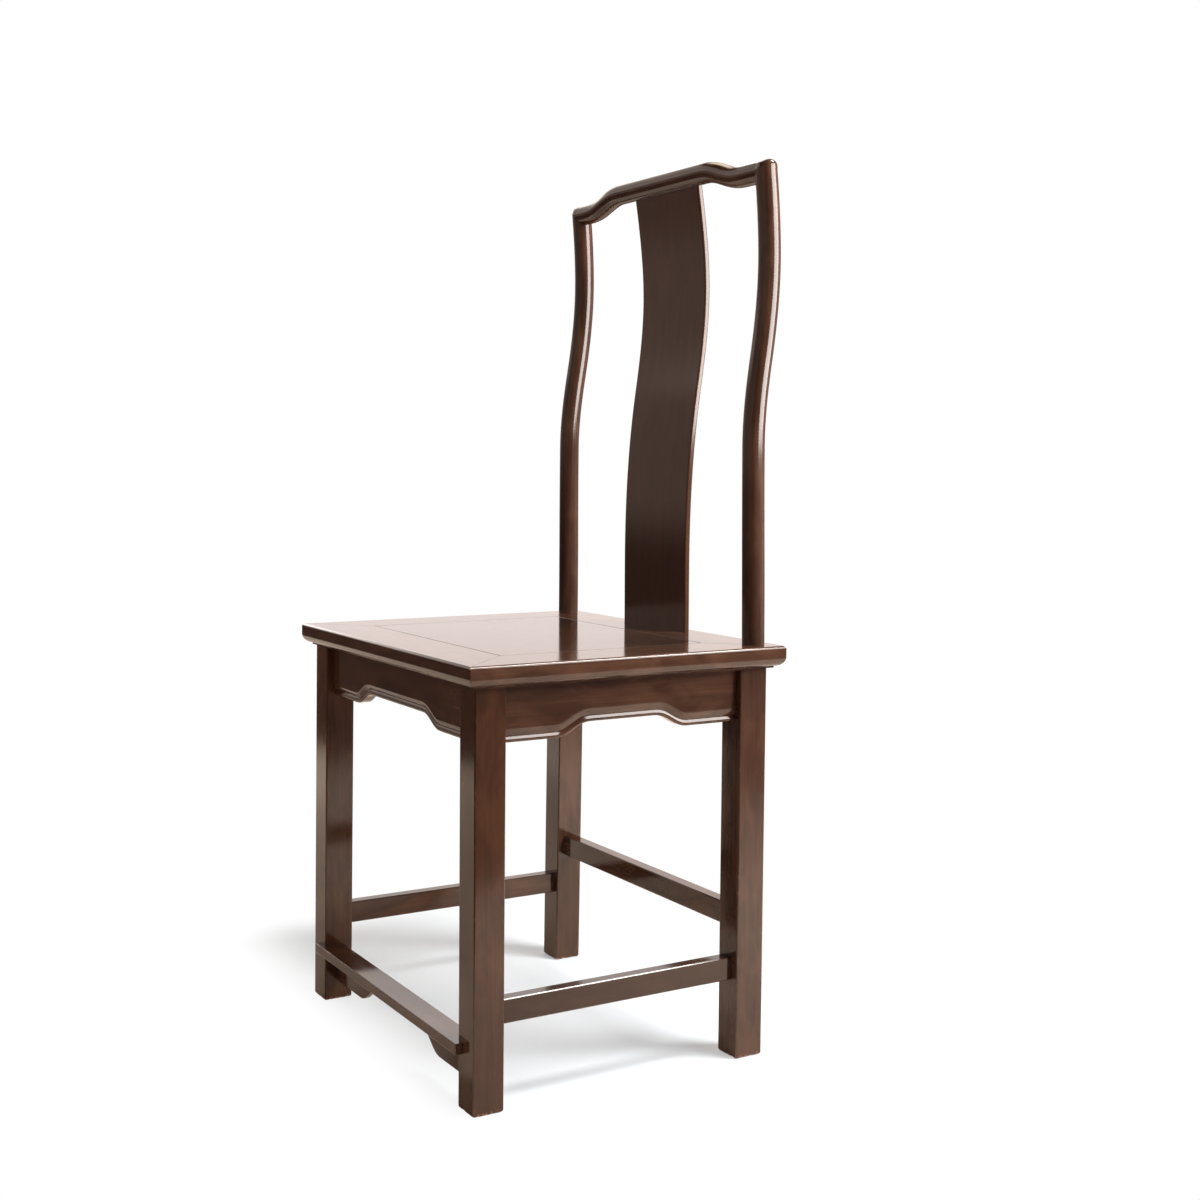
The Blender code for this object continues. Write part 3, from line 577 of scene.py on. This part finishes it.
def makeCrest():
    end = postAxis("left", seat["top"] + post["rise"])
    span = end.x
    bm = startPiece()
    ring = bmesh.ops.create_circle(bm, cap_ends=True, segments=crest["sides"],
                                   radius=crest["radius"])["verts"]
    loop = list({edge for vert in ring for edge in vert.link_edges})
    bmesh.ops.rotate(bm, verts=ring, cent=(0, 0, 0), matrix=Matrix.Rotation(math.pi / 2, 3, "Y"))
    here = Vector((-span, end.y, crestHeight(-span, span)))
    bmesh.ops.translate(bm, verts=ring, vec=here)
    slope = 0.0
    for step in range(1, crest["rings"] + 1):
        x = span * (2 * step / crest["rings"] - 1)
        there = Vector((x, end.y, crestHeight(x, span)))
        turn = math.atan2(crestHeight(x + mm, span) - crestHeight(x - mm, span), 2 * mm)
        ring, loop = growLoop(bm, loop)
        bmesh.ops.translate(bm, verts=ring, vec=there - here)
        bmesh.ops.rotate(bm, verts=ring, cent=there, matrix=Matrix.Rotation(slope - turn, 3, "Y"))
        here, slope = there, turn
    bmesh.ops.contextual_create(bm, geom=loop)
    finishPiece("crestRail", bm, "crest_rail", crosswiseWood)


def makeSplat():
    low = seat["top"] - panel["thickness"]
    high = seat["top"] + post["rise"] + crest["raise"] - crest["radius"] + splat["entry"]
    base = postAxis("left", seat["top"]).y + splat["behindPost"] + splat["thickness"] / 2
    half = Vector((splat["width"], splat["thickness"], 0)) / 2
    bm = startPiece()
    corners = ((-1, -1), (1, -1), (1, 1), (-1, 1))
    ring = [bm.verts.new((x * half.x, base + y * half.y, low)) for x, y in corners]
    foot = bm.faces.new(ring)
    loop = list(foot.edges)
    hereY, hereZ = base, low
    for step in range(1, splat["steps"] + 1):
        height = low + (high - low) * step / splat["steps"]
        depth = base + bend(splat["knots"], (height - seat["top"]) / post["rise"])
        ring, loop = growLoop(bm, loop)
        bmesh.ops.translate(bm, verts=ring, vec=(0, depth - hereY, height - hereZ))
        hereY, hereZ = depth, height
    bmesh.ops.contextual_create(bm, geom=loop)
    bmesh.ops.recalc_face_normals(bm, faces=bm.faces)
    arrises = [edge for edge in bm.edges if edge.calc_face_angle(0) > splat["edgeTurn"]
               and abs(edge.verts[0].co.z - edge.verts[1].co.z) > mm]
    softenEdges(bm, arrises, splat["edge"], splat["edgeSteps"])
    finishPiece("backSplat", bm, "back_splat", splatWood)


makeCrest()
makeSplat()
print("crest rail and splat made")


# Aprons: boards with an ogee along the lower edge; the face rolls in above a small bead

apron = {
    "thickness": 16.0 * mm,
    "setBack": 9.0 * mm,  # face in from the legs' outer faces
    "depth": 63.5 * mm,
    "rise": 15.5 * mm,
    "shoulder": 65.0 * mm,
    "endShoulder": 73.0 * mm,  # on the front and back aprons
    "ogee": 51.0 * mm,
    # the bead's height above the lower edge and its distance out, in mm; its upper side is nearly flat
    "bead": ((0.0, 0.2), (0.25, 0.9), (0.9, 1.6), (1.8, 1.95),
             (2.8, 2.0), (3.8, 1.85), (6.2, 0.75), (6.8, 0.2)),
    "beadRoot": 0.4 * mm,  # behind the inner end of the roll
    "rollFrom": 7.0 * mm,
    "rollHeight": 10.0 * mm,
    "endRollHeight": 6.5 * mm,
    "rollDepth": 3.0 * mm,
    "rollSteps": 7,
    "rub": 0.12,
    "rubTo": 4.0 * mm,  # height of the rubbed strip
    "steps": 44,
    "stepsPast": 6.0 * mm,  # how far the close steps run past both ends of the ogee
}
footApron = {
    "thickness": 7.0 * mm,
    "setBack": 15.5 * mm,
    "depth": 38.0 * mm,
    "rise": 22.0 * mm,
    "shoulder": 80.0 * mm,
    "ogee": 55.0 * mm,
    "arris": 1.2 * mm,
    "arrisMiddle": 0.35,
    "rub": 0.12,
    "rubTo": 4.0 * mm,
    "steps": 44,
    "stepsPast": 6.0 * mm,
}


def beadSection(spec):
    # height above the lower edge and distance out from the board's face
    root = -spec["rollDepth"] - spec["beadRoot"]
    points = [(0.0, -spec["thickness"])] + [(rise * mm, root + out * mm) for rise, out in spec["bead"]]
    for step in range(spec["rollSteps"] + 1):
        share = 1 - step / spec["rollSteps"]
        rise = spec["rollFrom"] + spec["rollHeight"] * (1 - share)
        points.append((rise, -spec["rollDepth"] * share ** 2))
    return points


def plainSection(spec):
    middle = spec["arrisMiddle"] * spec["arris"]
    return [(0.0, -spec["thickness"]), (0.0, -spec["arris"]), (middle, -middle), (spec["arris"], 0.0)]


def shapedBoard(name, nodeName, spec, section, top, ends, face, outward, finish):
    # ends: places of both ends as functions of height, along the axis that the board runs on
    low = top - spec["depth"]
    length = ends[1](low) - ends[0](low)
    half = length / 2

    def lift(s):
        return spec["rise"] * smoothStep((half - abs(s) - spec["shoulder"]) / spec["ogee"])

    stations = [-half, half]
    for step in range(spec["steps"] + 1):
        begins = half - spec["shoulder"] + spec["stepsPast"]
        s = begins - (spec["ogee"] + 2 * spec["stepsPast"]) * step / spec["steps"]
        stations += [s, -s]
    stations.sort()

    bm = startPiece()
    wear = bm.verts.layers.float["edgeWear"]
    chain = [bm.verts.new((stations[0], out, rise)) for rise, out in section]
    for vert, (rise, out) in zip(chain, section):
        if out > -spec["thickness"] and rise < spec["rubTo"]:
            vert[wear] = spec["rub"]
    loop = [bm.edges.new(pair) for pair in zip(chain, chain[1:])]
    here, slope = Vector((stations[0], 0, 0)), 0.0
    for s in stations[1:]:
        there = Vector((s, 0, lift(s)))
        turn = math.atan2(lift(s + slopeStep) - lift(s - slopeStep), 2 * slopeStep)
        ring, loop = growLoop(bm, loop)
        bmesh.ops.translate(bm, verts=ring, vec=there - here)
        bmesh.ops.rotate(bm, verts=ring, cent=there, matrix=Matrix.Rotation(slope - turn, 3, "Y"))
        here, slope = there, turn
    rear = min(vert.co.y for vert in bm.verts)
    boundary = [edge for edge in bm.edges if len(edge.link_faces) == 1]
    rearEdges = [edge for edge in boundary
                 if all(abs(vert.co.y - rear) < samePlace for vert in edge.verts)]
    endEdges = [edge for edge in boundary
                if all(abs(abs(vert.co.x) - half) < samePlace for vert in edge.verts)]
    frontEdges = [edge for edge in boundary if edge not in rearEdges and edge not in endEdges]
    tops = []
    for edges in (frontEdges, rearEdges):
        verts, loop = growLoop(bm, edges)
        for vert in verts:
            vert.co.z = spec["depth"]
        tops += loop
    bmesh.ops.bridge_loops(bm, edges=tops)
    openEnds = [edge for edge in bm.edges if len(edge.link_faces) == 1]
    bmesh.ops.holes_fill(bm, edges=openEnds, sides=0)

    bmesh.ops.translate(bm, verts=bm.verts, vec=(0, 0, low))
    for vert in bm.verts:
        share = (vert.co.x + half) / length
        along = ends[0](vert.co.z) + share * (ends[1](vert.co.z) - ends[0](vert.co.z))
        across = face + vert.co.y * (outward.x + outward.y)
        vert.co = (along, across, vert.co.z) if outward.x == 0 else (across, along, vert.co.z)
    finishPiece(name, bm, nodeName, finish)


def legFace(side, place, axis, way, height):
    return legAt(side, place, height)[axis] + way * (leg["size"] / 2 + hairline)


def makeAprons():
    top = seat["underside"] - hairline
    middle = top - apron["depth"] / 2
    inset = leg["size"] / 2 - apron["setBack"]
    for place, name, way in (("front", "front", -1), ("rear", "back", 1)):
        ends = [lambda z, p=place: legFace("right", p, 0, 1, z),
                lambda z, p=place: legFace("left", p, 0, -1, z)]
        face = legAt("left", place, middle).y + way * inset
        spec = {**apron, "shoulder": apron["endShoulder"], "rollHeight": apron["endRollHeight"]}
        shapedBoard(f"apron{name.title()}", f"apron_{name}", spec, beadSection(spec), top, ends, face,
                    Vector((0, way, 0)), crosswiseWood)
    for side, way in (("left", 1), ("right", -1)):
        ends = [lambda z, s=side: legFace(s, "front", 1, 1, z),
                lambda z, s=side: legFace(s, "rear", 1, -1, z)]
        face = legAt(side, "front", middle).x + way * inset
        shapedBoard(f"apron{side.title()}", f"apron_{side}", apron, beadSection(apron), top, ends, face,
                    Vector((way, 0, 0)), lengthwiseWood)


makeAprons()
print("aprons made")


# Footrest with its lips, the thin board under it, and the stretchers

footrest = {
    "lap": 11.0 * mm,
    "arris": 2.0 * mm,
    "arrisSteps": 4,
    "rub": 0.6,
    "underRub": 0.2,  # along the lower front edge, where the rubbing is lighter
    "rubbedFrom": 0.5,
    "rearArris": 1.0 * mm,
    "rearSteps": 3,
    "rearRub": 0.4,
}
stretcher = {
    "width": 16.6 * mm,
    "arris": 1.0 * mm,
    "longEdge": 200.0 * mm,  # edges longer than this get the chamfer
    # the side stretchers aren't quite level with each other
    "raised": {"side_stretcher_left": -1.2 * mm, "side_stretcher_right": 1.2 * mm},
}


def makeFootrest():
    low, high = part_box("footrest")
    legFront = legAt("left", "front", low.z).y - leg["size"] / 2 - hairline
    inner = legFace("left", "front", 0, -1, high.z)
    reach = inner + footrest["lap"]
    half = [(reach, low.y), (reach, legFront), (inner, legFront), (inner, high.y)]
    outline = half + [(-x, y) for x, y in reversed(half)]
    bm = startPiece()
    base = bm.faces.new([bm.verts.new((x, y, low.z)) for x, y in outline])
    grown = bmesh.ops.extrude_face_region(bm, geom=[base], use_keep_orig=True)["geom"]
    lifted = [item for item in grown if isinstance(item, bmesh.types.BMVert)]
    bmesh.ops.translate(bm, verts=lifted, vec=(0, 0, high.z - low.z))
    bmesh.ops.recalc_face_normals(bm, faces=bm.faces)
    frontEdges = [edge for edge in bm.edges if all(vert.co.y < low.y + mm for vert in edge.verts)]
    softenEdges(bm, frontEdges, footrest["arris"], footrest["arrisSteps"], footrest["rub"])
    wear = bm.verts.layers.float["edgeWear"]
    for vert in bm.verts:
        if vert[wear] > footrest["rubbedFrom"] and vert.co.z < low.z + footrest["arris"]:
            vert[wear] = footrest["underRub"]
    rearTop = [edge for edge in bm.edges if all(vert.co.y > high.y - mm and vert.co.z > high.z - mm
                                                for vert in edge.verts)]
    softenEdges(bm, rearTop, footrest["rearArris"], footrest["rearSteps"], footrest["rearRub"])
    finishPiece("footrest", bm, "footrest", crosswiseWood)

    ends = [lambda z: legFace("right", "front", 0, 1, z),
            lambda z: legFace("left", "front", 0, -1, z)]
    face = legFront + footApron["setBack"]
    shapedBoard("footrestApron", "footrest_apron", footApron, plainSection(footApron),
                low.z - hairline, ends, face, Vector((0, -1, 0)), crosswiseWood)


def makeStretcher(name, nodeName, ends, centre, axis, finish):
    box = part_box(nodeName)
    low, high = [corner.z + stretcher["raised"].get(nodeName, 0.0) for corner in box]
    half = stretcher["width"] / 2
    bm = startPiece()
    verts = plainBlock(bm, Vector((-1, -half, low)), Vector((1, half, high)))
    for vert in verts:
        along = ends[vert.co.x > 0](vert.co.z)
        across = centre + vert.co.y
        vert.co = (along, across, vert.co.z) if axis == 0 else (across, along, vert.co.z)
    bmesh.ops.recalc_face_normals(bm, faces=bm.faces)
    longEdges = [edge for edge in bm.edges if edge.calc_length() > stretcher["longEdge"]]
    softenEdges(bm, longEdges, stretcher["arris"], 1)
    finishPiece(name, bm, nodeName, finish)


def makeStretchers():
    for side in ("left", "right"):
        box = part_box(f"side_stretcher_{side}")
        centre = (box[0].x + box[1].x) / 2
        ends = [lambda z, s=side: legFace(s, "front", 1, 1, z),
                lambda z, s=side: legFace(s, "rear", 1, -1, z)]
        makeStretcher(f"sideStretcher{side.title()}", f"side_stretcher_{side}", ends, centre, 1,
                      lengthwiseWood)
    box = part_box("back_stretcher")
    centre = (box[0].y + box[1].y) / 2
    ends = [lambda z: legFace("right", "rear", 0, 1, z),
            lambda z: legFace("left", "rear", 0, -1, z)]
    makeStretcher("backStretcher", "back_stretcher", ends, centre, 0, crosswiseWood)


makeFootrest()
makeStretchers()
print("footrest and stretchers made")


# Camera at the photograph's place

camera = {
    "target": Vector((0.0441, 0.0708, 0.5435)),
    "azimuth": 59.189,
    "pitch": 5.092,
    "roll": 0.392,
    "distance": 2.0228,
    "lens": 48.372,
    "sensor": 36.0,
}


def makeCamera():
    turn, pitch, roll = [math.radians(camera[key]) for key in ("azimuth", "pitch", "roll")]
    back = Vector((math.sin(turn) * math.cos(pitch), -math.cos(turn) * math.cos(pitch), math.sin(pitch)))
    right = Vector((math.cos(turn), math.sin(turn), 0))
    up = right.cross(-back)
    tiltedRight = right * math.cos(roll) + up * math.sin(roll)
    tiltedUp = up * math.cos(roll) - right * math.sin(roll)
    data = bpy.data.cameras.new("photoCamera")
    data.lens = camera["lens"]
    data.sensor_width = camera["sensor"]
    eye = bpy.data.objects.new("photoCamera", data)
    bpy.context.scene.collection.objects.link(eye)
    pose = Matrix((tiltedRight, tiltedUp, back)).transposed().to_4x4()
    pose.translation = camera["target"] + back * camera["distance"]
    eye.matrix_world = pose
    bpy.context.scene.camera = eye


makeCamera()


# Studio: white paper under and behind the chair, a dim room with brighter parts, and softboxes

studio = {
    "paperHalf": 1.85,  # half width of the paper, in metres
    "paperFront": 0.85,
    "paperBack": 3.2,
    "shadowMiddle": (-0.14, 0.06, 0.0),  # middle and half size of the ground that the chair shades
    "shadowHalf": (0.32, 0.16, 0.0),
    "whiteTo": 0.14,  # distance outside it at which the paper is plain white to the camera
    "room": 0.10,  # level between the brighter parts
    "roomColour": "#ffdccb",
    "edgeSoftness": 0.04,  # of a bright part's lower and upper edge, in sine of elevation
    "sideSoftness": 8,  # of its sides, in degrees
    "lampColour": "#fff9f5",
    "paper": "#f0e4d6",  # in reflections and in the light that it throws back
    "paperSeen": "#ccd5dc",  # as the camera sees it: cooler, so that it looks neutral under the lamps
    "paperGlow": 0.30,  # share of plain white that the camera sees in the paper by the chair
}
roomParts = (
    # name, azimuth from the backdrop, half width, lowest and highest sine of elevation, level, colour
    ("backdrop", 0, 32, -0.04, 0.34, 1.27, "#fff3ee"),
    ("upperBackdrop", 4, 24, 0.34, 0.60, 2.2, "#fffaf6"),
    ("ceilingGlow", -14, 20, 0.69, 0.86, 4.0, "#ffe9cc"),
    ("leftWall", -92, 58, -0.02, 0.34, 0.5, "#ffe2d0"),
    ("upperLeftWall", -50, 34, 0.22, 0.60, 1.1, "#fff0e4"),
    ("leftWindow", -31, 8, 0.28, 0.38, 6.0, "#fffaf6"),
    ("rightRearWall", 79, 24, -0.12, 0.35, 0.8, "#fff2e8"),
    ("rightWall", 119, 40, -0.35, 0.10, 0.20, "#fff6ee"),
)
softboxes = (
    # name, place, aim, width, height, power in watts, mirrored in the lacquer, on paper only
    ("sideSoftbox", (1.05, 0.88, 1.14), (0.2, 0.2, 1.08), 1.00, 0.75, 42.0, True, False),
    ("overheadSoftbox", (-0.90, 0.98, 2.20), (0.0, 0.0, 0.5), 1.4, 1.3, 7.0, True, False),
    ("stripSoftbox", (0.85, 1.00, 2.10), (-0.15, 1.00, 0.50), 0.85, 0.32, 56.0, True, False),
    ("floorPool", (0.95, 0.95, 0.70), (0.95, 0.95, 0.0), 0.4, 0.4, 6.0, False, True),
    ("leftPool", (-1.70, -0.75, 0.50), (-1.70, -0.75, 0.0), 0.4, 0.4, 3.0, False, True),
    ("frontFill", (0.9, -2.2, 1.5), (0.0, 0.0, 0.6), 2.0, 2.0, 10.0, False, False),
)


def makeSoftboxes(floor):
    # two lamps light only the paper, where the chair mirrors it
    paper = bpy.data.collections.new("paperOnly")
    paper.objects.link(floor)
    for name, place, aim, width, height, power, mirrored, paperOnly in softboxes:
        lamp = bpy.data.lights.new(name, "AREA")
        lamp.shape = "RECTANGLE"
        lamp.size = width
        lamp.size_y = height
        lamp.energy = power
        lamp.color = linearColour(studio["lampColour"])[:3]
        holder = bpy.data.objects.new(name, lamp)
        holder.location = place
        holder.visible_glossy = mirrored
        if paperOnly:
            holder.light_linking.receiver_collection = paper
        holder.rotation_euler = (Vector(aim) - Vector(place)).to_track_quat("-Z", "Y").to_euler()
        bpy.context.scene.collection.objects.link(holder)


def makeWorld():
    world = bpy.data.worlds.new("studioRoom")
    bpy.context.scene.world = world
    world.use_nodes = True
    tree = world.node_tree
    tree.nodes.clear()
    way = addNode(tree, "ShaderNodeTexCoord", {}).outputs["Generated"]
    rise = addNode(tree, "ShaderNodeSeparateXYZ", {0: way}).outputs["Z"]
    values = {0: way, 1: (1, 1, 0)}
    level = addNode(tree, "ShaderNodeVectorMath", values, operation="MULTIPLY").outputs[0]
    bearing = addNode(tree, "ShaderNodeVectorMath", {0: level}, operation="NORMALIZE").outputs[0]
    glow = [studio["room"] * part for part in linearColour(studio["roomColour"])[:3]]
    soft = studio["edgeSoftness"]
    fade = {"interpolation_type": "SMOOTHSTEP"}
    for name, azimuth, spread, low, high, strength, code in roomParts:
        turn = math.radians(camera["azimuth"] - azimuth)
        aim = (-math.sin(turn), math.cos(turn), 0)
        values = {0: bearing, 1: aim}
        towards = addNode(tree, "ShaderNodeVectorMath", values, operation="DOT_PRODUCT").outputs["Value"]
        outer, inner = [math.cos(math.radians(spread + step * studio["sideSoftness"])) for step in (1, -1)]
        limits = ((towards, outer, inner), (rise, low - soft, low + soft), (rise, high + soft, high - soft))
        across, above, below = [
            addNode(tree, "ShaderNodeMapRange", {0: value, 1: dark, 2: full}, **fade).outputs[0]
            for value, dark, full in limits]
        band = addNode(tree, "ShaderNodeMath", {0: above, 1: below}, operation="MULTIPLY").outputs[0]
        share = addNode(tree, "ShaderNodeMath", {0: band, 1: across}, operation="MULTIPLY").outputs[0]
        tone = [strength * part for part in linearColour(code)[:3]]
        glow = addNode(tree, "ShaderNodeVectorMath", {0: share, 1: tone, 2: glow},
                       operation="MULTIPLY_ADD", name=name).outputs[0]
    path = addNode(tree, "ShaderNodeLightPath", {})
    seen = addNode(tree, "ShaderNodeMix", {0: path.outputs["Is Camera Ray"], 6: glow, 7: (1, 1, 1, 1)},
                   data_type="RGBA")
    sky = addNode(tree, "ShaderNodeBackground", {"Color": seen.outputs[2], "Strength": 1.0})
    addNode(tree, "ShaderNodeOutputWorld", {"Surface": sky.outputs[0]})


def makeFloor():
    # seamless studio paper: matt white, plain white to the camera away from the chair's shadow
    material = bpy.data.materials.new("mattStudioPaper")
    material.use_nodes = True
    tree = material.node_tree
    tree.nodes.clear()
    place = addNode(tree, "ShaderNodeTexCoord", {}).outputs["Object"]
    # how far a point lies outside the shaded ground
    values = {0: place, 1: studio["shadowMiddle"]}
    off = addNode(tree, "ShaderNodeVectorMath", values, operation="SUBTRACT").outputs[0]
    spread = addNode(tree, "ShaderNodeVectorMath", {0: off}, operation="ABSOLUTE").outputs[0]
    values = {0: spread, 1: studio["shadowHalf"]}
    past = addNode(tree, "ShaderNodeVectorMath", values, operation="SUBTRACT").outputs[0]
    values = {0: past, 1: (0, 0, 0)}
    outside = addNode(tree, "ShaderNodeVectorMath", values, operation="MAXIMUM").outputs[0]
    reach = addNode(tree, "ShaderNodeVectorMath", {0: outside}, operation="LENGTH").outputs["Value"]
    values = {0: reach, 1: 0.0, 2: studio["whiteTo"], 3: studio["paperGlow"]}
    fade = addNode(tree, "ShaderNodeMapRange", values, interpolation_type="SMOOTHSTEP").outputs[0]
    seen = addNode(tree, "ShaderNodeLightPath", {}).outputs["Is Camera Ray"]
    shown = addNode(tree, "ShaderNodeMath", {0: seen, 1: fade}, operation="MULTIPLY").outputs[0]
    tones = {0: seen, 6: linearColour(studio["paper"]), 7: linearColour(studio["paperSeen"])}
    tone = addNode(tree, "ShaderNodeMix", tones, data_type="RGBA").outputs[2]
    paper = addNode(tree, "ShaderNodeBsdfDiffuse", {"Color": tone}).outputs[0]
    glow = addNode(tree, "ShaderNodeEmission", {"Color": (1, 1, 1, 1), "Strength": 1.0}).outputs[0]
    mixed = addNode(tree, "ShaderNodeMixShader", {0: shown, 1: paper, 2: glow}).outputs[0]
    addNode(tree, "ShaderNodeOutputMaterial", {"Surface": mixed})

    bm = bmesh.new()
    verts = bmesh.ops.create_grid(bm, x_segments=1, y_segments=1, size=1.0)["verts"]
    length = studio["paperFront"] + studio["paperBack"]
    bmesh.ops.scale(bm, verts=verts, vec=(studio["paperHalf"], length / 2, 1))
    bmesh.ops.translate(bm, verts=verts, vec=(0, length / 2 - studio["paperFront"], 0))
    turn = Matrix.Rotation(math.radians(camera["azimuth"]), 3, "Z")
    bmesh.ops.rotate(bm, verts=verts, cent=(0, 0, 0), matrix=turn)
    mesh = bpy.data.meshes.new("studioFloor")
    bm.to_mesh(mesh)
    bm.free()
    mesh.materials.append(material)
    floor = bpy.data.objects.new("studioFloor", mesh)
    bpy.context.scene.collection.objects.link(floor)
    return floor


makeWorld()
makeSoftboxes(makeFloor())
bpy.context.scene.view_settings.view_transform = "Standard"
print("studio ready")
